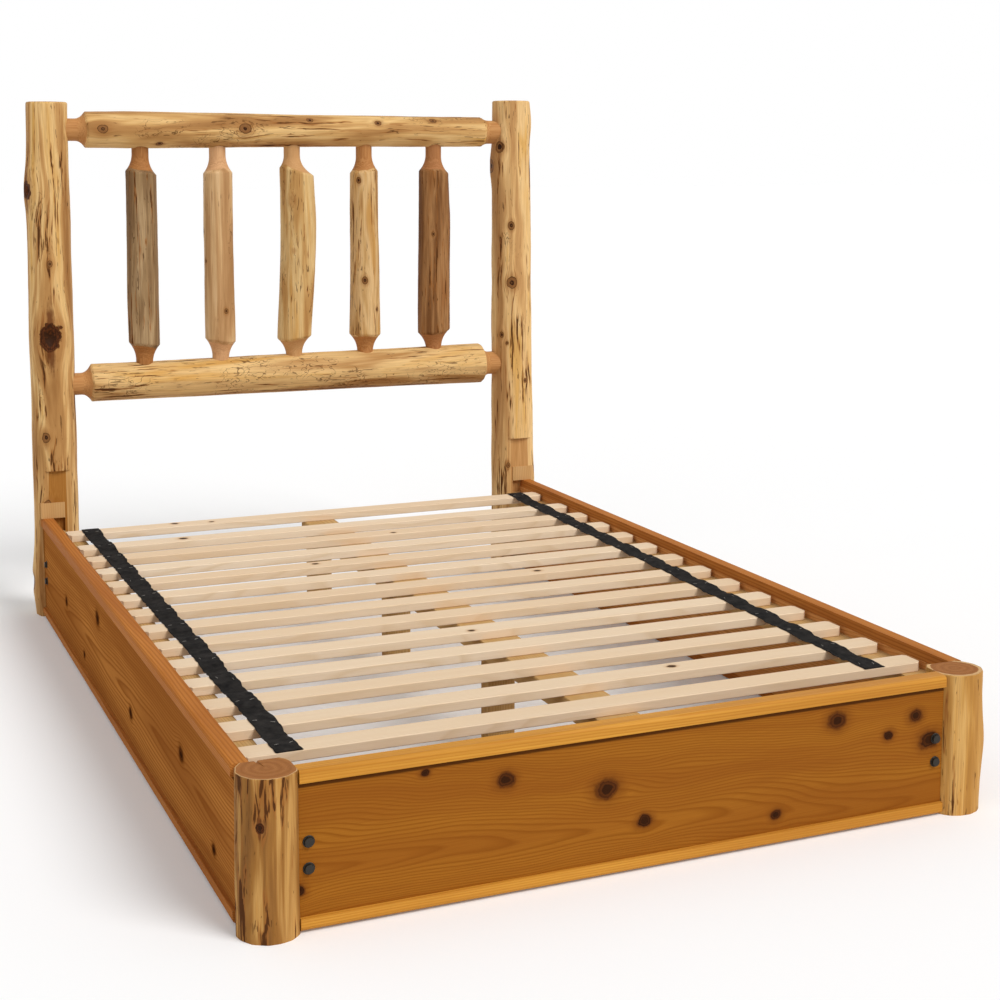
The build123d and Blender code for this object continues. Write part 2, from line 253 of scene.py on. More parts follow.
def peeledFinish(name, look, axis, knots=()):
    # a log peeled by hand: long bands of sapwood with streaks of bark left in them, and heartwood further in
    look = inLight(look)
    wood = Finish(name, axis, look["shift"])
    reaches = wood.bendRound(knots)
    depth = wood.add("Attribute", {"attribute_name": "depth"}, out="Fac")
    bands = wood.grained(look["bandAcross"], 1.9, 3, 0.55, 0.5)
    sap = wood.colours(bands, [(0.33, look["deep"]), (0.43, look["stain"]), (0.49, look["middle"]),
                                 (0.56, look["pale"]), (0.68, look["golden"])])
    fibres = wood.grained(520, 8, 4, 0.62, 0.0, 5)
    sap = wood.blend(wood.step(fibres, 0.38, 0.72) * look["fibreShare"], sap, look["fibre"])

    cluster = wood.step(wood.grained(10, 2.3, 2, 0.5, 0.3, 7), 0.4, 0.66) * 0.08
    streaks = wood.grained(look["dashAcross"], look["dashAlong"], 3, 0.6, 0.4, 9) + cluster
    soft = wood.step(streaks, look["dashFrom"] - 0.05, look["dashFrom"] + 0.01)
    hard = wood.step(streaks, look["dashFrom"] + 0.01, look["dashFrom"] + 0.04)
    flecks = wood.grained(210, 24, 2, 0.5, 0.6, 11) + cluster
    flecks = wood.step(flecks, look["fleckFrom"], look["fleckFrom"] + 0.04)
    # the thin wandering lines that beetles leave are where a soft cloud crosses its middle
    trails = 1 - wood.step((wood.grained(40, 19, 2, 0.55, 1.2, 13) - 0.5).math("ABSOLUTE"), 0.007, 0.020)
    trailField = wood.grained(8, 4, 2, 0.5, 0.0, 17)
    trails = trails * wood.step(trailField, look["trailFrom"], look["trailFrom"] + 0.05)
    peeled = 1 - wood.step(depth, 1.5, 4.0)
    marks = wood.most(hard, flecks * 0.75, trails * 0.8) * peeled
    colour = wood.blend(soft * peeled * look["softShare"], sap, look["soft"])
    colour = wood.blend(marks * look["markShare"], colour, look["mark"])

    # heartwood shows wherever the log is cut well inside its skin
    lines = wood.cloud(wood.add("CombineXYZ", {}, {"X": depth * 0.9, "Y": bands * 2}), 2, 0.6)
    heart = wood.colours(wood.step(lines, 0.3, 0.7) * 0.5 + wood.step(fibres, 0.3, 0.7) * 0.5,
                           [(0, look["heartPale"]), (1, look["heart"])])
    inside = wood.step(depth + bands * 3, look["sapDepth"], look["sapDepth"] + 1.2)
    colour = wood.blend(inside, colour, heart)

    # the sawn end shows yearly rings, among broader and slower ones
    facing = wood.vector("DOT_PRODUCT", wood.add("TexCoord", out="Normal"),
                           [float(letter == axis) for letter in "xyz"], out="Value")
    end = wood.step(facing.math("ABSOLUTE"), 0.8, 0.95)
    wobble = wood.even(28, 2, 0.5, look["shift"]) * 2.2
    year = (depth / look["ringEvery"] + wobble).math("FRACT")
    slow = (depth * 0.42 + wobble * 2).math("SINE") * 0.5 + 0.5
    dust = wood.even(420, 3, 0.6)
    endWood = wood.colours(wood.step(depth + wobble * 1.5, look["rim"], look["rim"] + 1.5),
                             [(0, look["endPale"]), (1, look["endHeart"])])
    darker = (wood.step(year, 0.45, 0.9) - wood.step(year, 0.93, 1.0)) * 0.5 + slow * 0.3 + dust * 0.12
    colour = wood.blend(end, colour, wood.blend(darker, endWood, look["endRing"]))

    height = fibres * 0.3 + hard * peeled * -0.6 + flecks * -0.3 + bands * 0.7 + dust * end * 0.3
    ragging = (wood.even(48, 4, 0.62, look["shift"]) - 0.5) * 0.55
    for away, tail, dark in reaches:
        ragged = away + ragging * (1 + 1.2 * dark)
        halo = (1 - wood.step(ragged, 0.9, 2.1)) * (0.35 + wood.step(fibres, 0.4, 0.6) * 0.3)
        colour = wood.blend(halo, colour, look["halo"])
        streak = 1 - wood.step(tail + (fibres - 0.5) * 0.5 + ragging * 0.4, 0.24, 0.46)
        colour = wood.blend(streak * (0.1 + 0.9 * dark * dark), colour, look["tail"])
        turns = (ragged * 15).math("SINE")
        body = wood.colours(turns * 0.16 + ragged * 0.75 + (fibres - 0.5) * dark * 1.1, [
            (0.02 + 0.4 * dark, look["knotDark"]), (0.4 + 0.3 * dark, look["tail" if dark > 0.6 else "knot"]),
            (0.92, look["knotDark"])])
        inKnot = 1 - wood.step(ragged, 0.9, 1.05)
        colour = wood.blend(inKnot, colour, body)
        height = height + inKnot * turns * 0.3 - streak * 0.4 * dark
    roughness = 0.5 + marks * 0.2 + wood.step(fibres, 0.3, 0.8) * 0.12 + end * 0.15
    return wood.close(colour, roughness, height, look["relief"])


def sawnFinish(name, look, axis, upAxis, pith, knots=()):
    # a sawn board: its growth rings are shells round a pith line that leans as it runs behind the face
    look = inLight(look)
    wood = Finish(name, axis, look["shift"])
    reaches = wood.bendRound(knots)
    place = {letter: wood.add("SeparateXYZ", {}, {0: wood.bent}, out=letter.upper()) for letter in "xyz"}
    through = next(letter for letter in "xyz" if letter not in (axis, upAxis))
    wander = wood.grained(3.5, look["wanderAlong"], 3, 0.5, 0.2) - 0.5
    up = place[upAxis] - pith["level"] + wander * pith["sway"] + place[axis] * pith["climb"]
    back = place[through] * pith["facing"] + place[axis] * pith["lean"] + pith["behind"]
    shell = (up * up + back * back).math("SQRT") / pith["spacing"] + wander * 1.4
    ring = shell.math("FRACT")
    year = wood.cloud(wood.add("CombineXYZ", {}, {"X": shell * 0.21}), 1, 0.5, 0.0, look["shift"] + 2)
    colour = wood.colours(ring, [(0.0, look["early"]), (0.45, look["early"]), (0.86, look["late"]),
                                 (1, look["early"])])
    fibres = wood.grained(520, 7, 4, 0.62, 0.0, 5)
    colour = wood.blend(wood.step(fibres, 0.35, 0.75) * look["fibreShare"], colour, look["fibre"])
    patches = wood.grained(7, 0.9, 3, 0.55, 0.5, 7)
    colour = wood.blend(wood.step(patches, 0.38, 0.66) * look["patchShare"], colour, look["patch"])
    colour = wood.blend(wood.step(year, 0.45, 0.62) * look["patchShare"] * 0.6, colour, look["patch"])
    if "pieceFrom" in look:
        # each slat of the roll has its own tone
        cell = ((place["y"] - look["pieceFrom"]) / look["pieceEvery"]).math("FLOOR")
        wild = wood.add("TexWhiteNoise", {"noise_dimensions": "1D"}, {"W": cell}, out="Value")
        colour = wood.blend(wild * 0.45, colour, look["dark"])
    if "trimShadowTop" in look:
        # painted shade: the board is darkened along a strip just under the trim, standing in for the shadow
        # that the trim casts on it
        straight = wood.add("SeparateXYZ", {}, {0: wood.spot}, out=upAxis.upper())
        near = wood.step(straight + (fibres - 0.5) * 0.002, look["trimShadowTop"] - 0.011, look["trimShadowTop"] - 0.008)
        colour = wood.blend(near * 0.85, colour, look["trimShadow"])
    height = ring * 0.3 + fibres * 0.5
    ragging = (wood.even(55, 4, 0.6, look["shift"]) - 0.5) * 0.55
    for away, tail, dark in reaches:
        ragged = away + ragging * (1 + dark)
        halo = 1 - wood.step(ragged + (fibres - 0.5) * 0.5, 0.8, 2.2)
        colour = wood.blend(halo * 0.6, colour, look["halo"])
        turns = (ragged * 15).math("SINE")
        body = wood.colours(turns * 0.12 + ragged * 0.7, [
            (0.1 + 0.35 * dark, look["knotDark"]), (0.5 + 0.2 * dark, look["knot"]), (0.9, look["knotDark"])])
        inKnot = (1 - wood.step(ragged, 0.72, 1.25)) * 0.95
        colour = wood.blend(inKnot, colour, body)
        height = height + inKnot * turns * 0.25
    roughness = look["roughness"] + wood.step(fibres, 0.3, 0.8) * 0.12
    return wood.close(colour, roughness, height, look["relief"], look["shine"])


def putIn(name, data):
    thing = bpy.data.objects.new(name, data)
    bpy.context.collection.objects.link(thing)
    return thing


def newPiece(name, points, faces, finish):
    mesh = bpy.data.meshes.new(name)
    mesh.from_pydata(points, [], faces)
    mesh.polygons.foreach_set("use_smooth", [True] * len(mesh.polygons))
    mesh.update()
    piece = putIn(name, mesh)
    mesh.materials.append(finish)
    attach(piece, "root")
    return piece


def skin(ringCount, ringSize, first=0):
    # quads between rings of points that follow one another, and a face at each end
    last = first + (ringCount - 1) * ringSize
    faces = [range(first + ringSize - 1, first - 1, -1), range(last, last + ringSize)]
    for low in range(first, last, ringSize):
        for step in range(ringSize):
            ahead = (step + 1) % ringSize
            faces.append((low + step, low + ahead, low + ahead + ringSize, low + step + ringSize))
    return [tuple(face) for face in faces]


def newBox(name, low, high):
    mesh = bpy.data.meshes.new(name)
    shape = bmesh.new()
    bmesh.ops.create_cube(shape, size=1)
    for point in shape.verts:
        point.co = [low[i] if point.co[i] < 0 else high[i] for i in range(3)]
    shape.to_mesh(mesh)
    shape.free()
    return putIn(name, mesh)


def sawAway(piece, blocks):
    # cuts each block, given by its lowest and highest corners, out of a piece
    for low, high in blocks:
        block = newBox("saw_block", low, high)
        cut = piece.modifiers.new("cut", "BOOLEAN")
        cut.operation, cut.object, cut.solver = "DIFFERENCE", block, "EXACT"
        graph = bpy.context.evaluated_depsgraph_get()
        made = bpy.data.meshes.new_from_object(piece.evaluated_get(graph))
        piece.modifiers.clear()
        piece.data = made
        bpy.data.objects.remove(block)
    piece.data.set_sharp_from_angle(angle=radians(38))


def scoreFlats(piece, spacing):
    # rules points across the sawn flats, so that how deep they are cut is known all over them
    shape = bmesh.new()
    shape.from_mesh(piece.data)
    for across, along in ((Vector((0, 1, 0)), Vector((1, 0, 0))), (Vector((1, 0, 0)), Vector((0, 1, 0)))):
        sawn = [face for face in shape.faces if abs(face.normal.dot(across)) > 0.9999]
        spots = [point.co.dot(along) for face in sawn if face.calc_area() > 0.0008 for point in face.verts]
        place = min(spots, default=0) + spacing / 2
        while spots and place < max(spots):
            flats = [face for face in shape.faces if abs(face.normal.dot(across)) > 0.9999]
            parts = set(flats) | {edge for face in flats for edge in face.edges}
            parts |= {point for face in flats for point in face.verts}
            bmesh.ops.bisect_plane(shape, geom=list(parts), plane_co=along * place, plane_no=along)
            place += spacing
    shape.to_mesh(piece.data)
    shape.free()


# what the tree and the drawknife give every log. The knife leaves long narrow flats: how far one reaches round
# the log is in radians, and its level is a share of the log's radius
peel = {"around": 72, "step": 0.007, "neckStep": 0.0028, "outOfRound": 0.015, "lumps": 0.0011,
        "fuzz": 0.00035, "flats": 15, "flatStray": 0.3, "flatReach": 0.9, "flatLevel": 0.987,
        "flatWaver": 0.009, "flatShare": 0.75}


class Log:
    # a peeled log along z or x. Its radii and drifts are in millimetres at even steps, and a knot is
    # (place along the log, angle round it in degrees, size in mm, rise in mm, how hollow and dark it is)
    def __init__(self, shape):
        self.shape = shape
        self.rim = shape["radii"]
        self.drifts = shape.get("drifts", (0, 0))
        self.start, self.end = shape["span"]
        self.around = shape.get("around", peel["around"])
        self.necks = [(side, shape[key]) for side, key in ((1, "lowNeck"), (-1, "highNeck")) if key in shape]
        random = Random(shape["seed"])
        count, stray = peel["flats"], peel["flatStray"]
        self.planes = [2 * pi * (step + random.uniform(-stray, stray)) / count for step in range(count)]
        self.seed = Vector((random.uniform(0, 50), random.uniform(0, 50), random.uniform(0, 50)))

    def radius(self, along, angle):
        shape = self.shape
        share = (along - self.start) / (self.end - self.start)
        turn = shape["turn"]
        base = alongCurve(self.rim, share) / 1000
        base *= 1 + peel["outOfRound"] * (sin(2 * angle + turn) + sin(3 * angle - 2 * turn))
        flats = []
        for index, plane in enumerate(self.planes):
            apart = abs((angle - plane + pi) % (2 * pi) - pi)
            if apart < peel["flatReach"]:
                waver = noise.noise(Vector((along * 4.5, index * 7.3, 0)) + self.seed)
                flats.append((peel["flatLevel"] + peel["flatWaver"] * waver) / cos(apart))
        base *= min(flats) * peel["flatShare"] + (1 - peel["flatShare"])
        stretched = Vector((cos(angle) * base, sin(angle) * base, along * 0.35))
        base += peel["lumps"] * shape.get("lumps", 1) * noise.noise(stretched * 22 + self.seed)
        base += peel["fuzz"] * noise.noise(stretched * 110 + self.seed)
        for place, knotAngle, size, rise, hollow in shape.get("knots", ()):
            apart = (angle - radians(knotAngle) + pi) % (2 * pi) - pi
            reach = hypot((along - place) / 1.35, apart * base) * 1000 / size
            if reach < 3.5:
                dome = rise * min(exp(-0.45 * reach * reach), 0.8)
                ragged = 1 + 0.5 * noise.noise(stretched * 60 + self.seed)
                dimple = 0.22 * rise * exp(-9 * reach * reach)
                crater = 0.3 * hollow * size * exp(-6 * reach * reach * ragged)
                base += (dome - dimple - crater) / 1000
        if "backRoom" in shape and sin(angle) > 0.5:
            base = min(base, shape["backRoom"] / 1000 / sin(angle))
        return base

    def drift(self, along):
        share = (along - self.start) / (self.end - self.start)
        return alongCurve(self.drifts, share) / 1000

    def flare(self, along, angle):
        # the reach of the tenon cutter, an arc that ends in a cone, which the log's own shape then breaks off
        limit = 1.0
        sweep = pi / 4
        for side, neck in self.necks:
            past = (along - neck["from"] - neck["slant"] * cos(angle)) * side / neck["length"]
            bent = min(max(past, 0), 1) * sin(sweep)
            rise = (1 - sqrt(1 - bent * bent) + max(past - 1, 0) * sin(sweep)) / (1 - cos(sweep))
            limit = min(limit, neck["radius"] + rise * (neck["full"] - neck["radius"]))
        return limit

    def surface(self, along, angle):
        # the distance from the ring's middle to the surface, and to the skin of the uncut log
        radius = self.radius(along, angle)
        if not self.necks:
            return radius, radius
        drift = self.drift(along)
        skinReach = drift * cos(angle) + sqrt(max(radius ** 2 - (drift * sin(angle)) ** 2, 0))
        return min(skinReach, self.flare(along, angle)), skinReach

    def middle(self, along):
        # a log with tenons is turned about one straight line, and drifts off it
        across, aside = self.shape["line"]
        return (across if self.necks else across + self.drift(along)), aside

    def place(self, along, angle, reach):
        across, aside = self.middle(along)
        if self.shape["axis"] == "z":
            return (across + reach * cos(angle), aside + reach * sin(angle), along)
        return (along, across + reach * cos(angle), aside + reach * sin(angle))

    def knotSpots(self):
        # where the finish draws each knot: level with the skin just outside its hollow
        spots = []
        for place, knotAngle, size, rise, hollow in self.shape.get("knots", ()):
            reach = self.radius(place + size * 0.0011, radians(knotAngle))
            drawn = size * (0.62 + 0.3 * hollow ** 3) / 1000
            spots.append((self.place(place, radians(knotAngle), reach), drawn, hollow))
        return spots

    def stations(self):
        # where the rings of points lie, closer together at the necks
        low, high = self.shape.get("reach", self.shape["span"])
        step = self.shape.get("step", peel["step"])
        places = []
        along = low
        while along < high - step / 2:
            places.append(along)
            near = any(abs(along - neck["from"]) < neck["length"] * 1.7 for side, neck in self.necks)
            along += peel["neckStep"] if near else step
        return places + [high]

    def endPoints(self, top, rim):
        # the sawn end, with the marks that the saw leaves, and the drying crack if it has one
        crack = self.shape.get("crack")
        points = []
        for share in (0.94, 0.85, 0.74, 0.6, 0.45, 0.3, 0.15, 0.05):
            for step in range(self.around):
                angle = 2 * pi * step / self.around
                reach = (self.surface(top, angle)[0] - rim) * share
                dip = 0.0
                if crack and share > 0.25:
                    apart = abs((angle - radians(crack["angle"]) + pi) % (2 * pi) - pi) * reach
                    width = crack["width"] * smoothStep(share, 0.25, 1.0) + 0.0004
                    dip = crack["depth"] * max(0, 1 - apart / width)
                spot = Vector((reach * cos(angle), reach * sin(angle), 0))
                mark = 0.0001 + abs(0.00022 * noise.noise(spot * 160 + self.seed))
                points.append(self.place(top - dip - mark, angle, reach))
        return points

    def build(self, finish):
        shape = self.shape
        angles = [2 * pi * step / self.around for step in range(self.around)]
        easing = shape.get("easing", 0) / 1000
        top = shape.get("reach", shape["span"])[1]
        rings = [(along, along, 0) for along in self.stations() if not easing or along <= top - easing]
        if easing:
            rings += [(top - easing * (1 - sin(share * pi / 2)), top, easing * (1 - cos(share * pi / 2)))
                      for share in (0.0, 0.3, 0.6, 0.85, 1.0)]
        points = [self.place(along, angle, self.surface(measured, angle)[0] - inward)
                  for along, measured, inward in rings for angle in angles]
        points += self.endPoints(top, easing)
        faces = skin(len(points) // self.around, self.around)
        piece = newPiece(shape["node"] + "_log", points, faces, finish)
        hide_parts(shape["node"])
        return piece

    def markDepth(self, piece):
        # how far each point lies inside the log's skin, in millimetres, for the heartwood
        depth = piece.data.attributes.new("depth", "FLOAT", "POINT")
        for index, point in enumerate(piece.data.vertices):
            if self.shape["axis"] == "z":
                along, across, aside = point.co.z, point.co.x, point.co.y
            else:
                along, across, aside = point.co
            middle = self.middle(along)
            angle = atan2(aside - middle[1], across - middle[0])
            reach = hypot(across - middle[0], aside - middle[1])
            depth.data[index].value = max(0.0, (self.surface(along, angle)[1] - reach) * 1000)


def makeLog(shape, look, blocks=()):
    log = Log(shape)
    look = {**look, **shape.get("look", {})}
    piece = log.build(peeledFinish(shape["node"] + "_wood", look, shape["axis"], log.knotSpots()))
    if blocks:
        sawAway(piece, blocks)
        scoreFlats(piece, 0.008)
    log.markDepth(piece)
    print("log built:", shape["node"], len(piece.data.polygons))


# colours are as a screen shows them, and sapDepth, rim and ringEvery are in millimetres
logLook = {
    "shift": 0,
    "pale": (228, 190, 130),
    "golden": (212, 162, 88),
    "middle": (206, 162, 102),
    "stain": (182, 136, 82),
    "deep": (158, 112, 64),
    "bandAcross": 24,
    "fibre": (150, 104, 58),
    "fibreShare": 0.42,
    "soft": (150, 94, 44),
    "softShare": 0.75,
    "mark": (72, 40, 18),
    "markShare": 0.9,
    "dashAcross": 90,
    "dashAlong": 6,
    "dashFrom": 0.655,
    "fleckFrom": 0.69,
    "trailFrom": 0.66,
    "heart": (152, 94, 48),
    "heartPale": (196, 142, 88),
    "sapDepth": 7.0,
    "rim": 4.0,
    "ringEvery": 2.3,
    "endPale": (226, 186, 132),
    "endHeart": (168, 112, 64),
    "endRing": (122, 72, 36),
    "tail": (96, 50, 22),
    "halo": (160, 108, 58),
    "knot": (142, 96, 54),
    "knotDark": (54, 30, 15),
    "relief": 0.0010,
}

tallLeft = {
    "node": "tall_post_left",
    "line": (-bed["postX"], bed["headY"]),
    "span": (0.0, 1.414),
    "radii": (61.5, 62, 61, 60.5, 59.5, 58.5, 55.5),
    "drifts": (-1.5, -2, -1.5, -1.5, -1, 0, 1.5),
    "turn": -1,
    "easing": 5,
    "lumps": 2.0,
    "backRoom": 64,
    "seed": 11,
    "look": {"middle": (200, 154, 96), "heartPale": (178, 124, 60), "heart": (146, 92, 36)},
    "knots": ((1.176, -162, 28, 8, 0.8), (0.979, -98, 12, 2.5, 0.1), (0.779, -100, 38, 6, 0.92),
              (0.504, -118, 19, 5, 0.3), (0.316, -118, 20, 2, 0.3), (0.096, 180, 34, 10, 0.2)),
}
tallRight = {
    "node": "tall_post_right",
    "line": (bed["postX"], bed["headY"]),
    "span": (0.0, 1.434),
    "radii": (66.5, 67, 63.5, 61.5, 60, 58, 55.5),
    "drifts": (9, 10, 5.5, 3, 1.5, -0.5, -2.5),
    "turn": 1,
    "easing": 5,
    "lumps": 2.2,
    "backRoom": 67,
    "seed": 23,
    "look": {"pale": (234, 196, 138), "golden": (220, 172, 100), "middle": (216, 172, 114),
             "stain": (198, 152, 98), "deep": (180, 134, 84), "heartPale": (206, 158, 102),
             "heart": (178, 126, 72)},
    "knots": ((1.296, -146, 22, 5, 0.6), (1.239, 178, 28, 8, 0.2), (1.060, -114, 17, 2, 0.3),
              (0.889, -113, 25, 4, 0.2), (0.729, -142, 12, 2, 0.3), (0.704, -127, 8, 1, 0.2),
              (0.588, -73, 10, 1, 0.2), (0.327, -125, 12, 1.5, 0.3), (1.372, -5, 28, 8, 0.2)),
}
footLeft = {
    "node": "foot_post_left",
    "line": (-bed["postX"], bed["footY"]),
    "span": (0.0, bed["deckTop"]),
    "radii": (54, 53.5, 53, 53),
    "drifts": (0, -1, -0.5, 0),
    "turn": -2,
    "easing": 2.0,
    "step": 0.0055,
    "seed": 37,
    "knots": ((0.196, -118, 9, 1.2, 0.9),),
    "crack": {"angle": 100, "width": 0.0022, "depth": 0.006},
    "look": {"deep": (112, 72, 34), "stain": (136, 92, 44), "middle": (154, 106, 50),
             "pale": (196, 150, 86), "golden": (180, 122, 46), "dashFrom": 0.625, "dashAcross": 75,
             "dashAlong": 7, "bandAcross": 30},
}
footRight = {
    "node": "foot_post_right",
    "line": (bed["postX"], bed["footY"]),
    "span": (0.0, bed["deckTop"]),
    "radii": (54, 53.5, 53, 53),
    "drifts": (0, 1, 0.5, 0),
    "turn": 2,
    "easing": 2.0,
    "step": 0.0055,
    "seed": 41,
    "knots": ((0.139, 0, 30, 10, 0.2),),
    "look": {"rim": 9.0, "pale": (216, 170, 102), "middle": (198, 148, 78), "stain": (186, 134, 66),
             "deep": (164, 114, 52), "golden": (206, 150, 72), "dashFrom": 0.70},
}

# the flats and notches that the boards stand against: how far from each post's middle they lie, how high they
# reach above the floor, and how far the saw runs out past the post
saw = {"flat": 0.0506, "flatTop": 0.410, "notchX": 0.6782, "notchTop": 0.321, "sideSeat": 0.038,
       "footSeat": 0.046, "inner": 0.3, "outer": 1.1, "past": 0.3, "under": -0.1, "over": 0.4}


def blocksOff(shape):
    # the blocks that the saw takes off a post, as lowest and highest corners
    across, middle = shape["line"]
    side, past = (1 if across > 0 else -1), saw["past"]
    if middle > 0:
        flat, notch = middle - saw["flat"], middle - saw["sideSeat"]
        cuts = ((saw["inner"], saw["outer"], flat - past, flat, saw["flatTop"]),
                (saw["notchX"], saw["outer"], notch - past, notch, saw["notchTop"]))
    else:
        panel, seat = bed["postX"] - saw["footSeat"], middle + saw["sideSeat"]
        cuts = ((0, panel, middle - past, middle + past, saw["over"]),
                (0, saw["outer"], seat, seat + past, saw["over"]))
    blocks = []
    for near, away, front, back, top in cuts:
        low, high = sorted((side * near, side * away))
        blocks.append(((low, front, saw["under"]), (high, back, top)))
    return blocks


for index, shape in enumerate((tallLeft, tallRight, footLeft, footRight)):
    makeLog({**shape, "slot": "post_wood", "axis": "z"}, {**logLook, "shift": index * 20}, blocksOff(shape))


def cutNeck(start, length, radius, full, slant=0):
    # where a log is cut down to its tenon. Its full radius there and the cut's slant are in millimetres
    return {"from": start, "length": length, "radius": radius, "full": full / 1000, "slant": slant / 1000}


# headboard rails, on which a knot's angle runs from the back over the top
railEnd = {"from": 0.616, "cone": 0.028, "lowNeck": 0.0305, "highNeck": 0.0345, "tenon": 0.012}
railLook = {**logLook, "dashFrom": 0.675, "trailFrom": 0.52, "bandAcross": 16, "heartPale": (206, 156, 100),
            "heart": (166, 108, 58)}
topRail = {
    "node": "headboard_top_rail",
    "line": (bed["headY"], bed["topRailZ"]),
    "radii": (50, 51, 49, 47, 45.5, 45, 44.5),
    "turn": 1,
    "seed": 53,
    "knots": ((-0.548, 178, 20, 2, 0.1), (-0.15, 174, 24, 3, 0.2), (0.045, 138, 14, 1.5, 0.3),
              (-0.39, 228, 13, 1, 0.5), (0.25, 149, 14, 1.5, 0.3), (0.425, 133, 14, 1.5, 0.5)),
}
bottomRail = {
    "node": "headboard_bottom_rail",
    "line": (bed["headY"], bed["bottomRailZ"]),
    "radii": (51.5, 52, 53.5, 55, 55.5, 56.5, 58.5),
    "turn": 4,
    "seed": 59,
    "look": {"trailFrom": 0.48, "middle": (212, 172, 116), "dashFrom": 0.675},
}
for index, shape in enumerate((topRail, bottomRail)):
    start, cone, radii = railEnd["from"], railEnd["cone"], shape["radii"]
    end = bed["postX"] + railEnd["tenon"]
    makeLog({
        **shape,
        "slot": "rail_wood",
        "axis": "x",
        "span": (cone - start, start - cone),
        "reach": (-end, end),
        "lowNeck": cutNeck(-start, cone, railEnd["lowNeck"], radii[0]),
        "highNeck": cutNeck(start, cone, railEnd["highNeck"], radii[-1]),
    }, {**railLook, "shift": 100 + index * 20})

# spindles, from the left: radii, drifts and the slants of the two necks run upwards
spindles = (
    {"radii": (43.5, 44, 43, 42.5), "drifts": (0, 0, 1, 1), "slants": (-5, -5),
     "look": {"pale": (186, 156, 116), "golden": (168, 134, 92), "middle": (158, 128, 90),
              "stain": (140, 110, 76), "deep": (120, 92, 62), "fibre": (92, 66, 42), "fibreShare": 0.62,
              "heartPale": (184, 128, 76), "heart": (136, 86, 44), "dashFrom": 0.65}},
    {"radii": (42.5, 41.5, 41, 40.5), "drifts": (0, -1, -1, 0), "slants": (-6, 2),
     "knots": ((1.056, 176, 9, 1, 0.5), (0.973, -163, 7, 1, 0.5), (0.832, -78, 11, 1, 0.2)),
     "look": {"pale": (222, 188, 144), "golden": (206, 164, 114), "middle": (208, 170, 122),
              "stain": (190, 148, 102), "deep": (172, 130, 86), "dashFrom": 0.72, "fleckFrom": 0.73,
              "heartPale": (222, 176, 130), "heart": (186, 136, 92)}},
    {"radii": (49.5, 51, 52, 49.5), "drifts": (2, 12, 18, 14), "slants": (3, 0),
     "knots": ((1.142, -107, 14, 2, 0.5), (0.999, -105, 10, 1, 0.3)),
     "look": {"pale": (222, 190, 134), "golden": (204, 156, 88), "middle": (208, 170, 112),
              "stain": (192, 148, 90), "deep": (174, 128, 74), "dashFrom": 0.69,
              "heartPale": (206, 162, 112), "heart": (184, 134, 84)}},
    {"radii": (46.5, 44, 42.5, 41.5), "drifts": (0, 1, 0, 0), "slants": (-1, 3),
     "knots": ((1.199, -130, 13, 2, 0.3), (0.907, -108, 15, 2, 0.2), (0.821, -56, 9, 1, 0.3)),
     "look": {"pale": (220, 184, 132), "golden": (196, 148, 84), "middle": (202, 162, 106),
              "stain": (178, 134, 82), "deep": (150, 106, 60), "dashFrom": 0.66}},
    {"radii": (47.5, 47.5, 46.5, 43.5), "drifts": (0, 0, 2, 0), "knots": ((1.039, -112, 9, 1, 0.4),),
     "slants": (5, -3),
     "look": {"pale": (172, 126, 80), "golden": (150, 100, 56), "middle": (146, 102, 62),
              "stain": (124, 82, 46), "deep": (98, 62, 34), "fibre": (84, 50, 26), "fibreShare": 0.6,
              "heartPale": (184, 128, 82), "heart": (146, 94, 54), "dashFrom": 0.625, "dashAcross": 120}},
)
spindleCut = {"pitch": 0.219, "neck": 0.0233, "overRail": 0.054, "underRail": 0.070, "lowCone": 0.052,
              "highCone": 0.048, "tenon": 0.014, "around": 56, "step": 0.006}
for index, shape in enumerate(spindles):
    low, high = bed["bottomRailZ"] + spindleCut["overRail"], bed["topRailZ"] - spindleCut["underRail"]
    lowCone, highCone = spindleCut["lowCone"], spindleCut["highCone"]
    radii, slants = shape["radii"], shape["slants"]
    makeLog({
        **shape,
        "node": f"spindle_{index + 1}",
        "slot": "spindle_wood",
        "axis": "z",
        "line": ((index - 2) * spindleCut["pitch"], bed["headY"]),
        "span": (low + lowCone, high - highCone),
        "reach": (bed["bottomRailZ"] + spindleCut["tenon"], bed["topRailZ"] - spindleCut["tenon"]),
        "turn": 2 * index,
        "seed": 70 + index,
        "step": spindleCut["step"],
        "around": spindleCut["around"],
        "lowNeck": cutNeck(low, lowCone, spindleCut["neck"], radii[0], slants[0]),
        "highNeck": cutNeck(high, highCone, spindleCut["neck"], radii[-1], slants[1]),
    }, {**logLook, "dashAcross": 105, "shift": 200 + index * 20})
print("headboard built")


def dress(names, finish, edge=0.0):
    # gives parts of the joinery their finish, and eases their edges by so many metres
    for name in names:
        part = nodes[name]
        part.material_slots[0].material = finish
        if edge:
            part.modifiers.new("joined", "WELD").merge_threshold = 0.00005
            eased = part.modifiers.new("eased", "BEVEL")
            eased.width, eased.segments, eased.angle_limit = edge, 2, radians(40)
            eased.harden_normals = True


cedarLook = {
    "shift": 0,
    "early": (162, 102, 32),
    "late": (138, 81, 20),
    "fibre": (132, 77, 19),
    "fibreShare": 0.45,
    "patch": (136, 76, 22),
    "patchShare": 0.5,
    "halo": (112, 60, 18),
    "knot": (92, 48, 18),
    "knotDark": (44, 22, 10),
    "wanderAlong": 0.9,
    "roughness": 0.5,
    "relief": 0.0005,
    "shine": 0.03,
    # the colour of the shade painted on the boards just under the trim
    "trimShadow": (76, 41, 13),
}
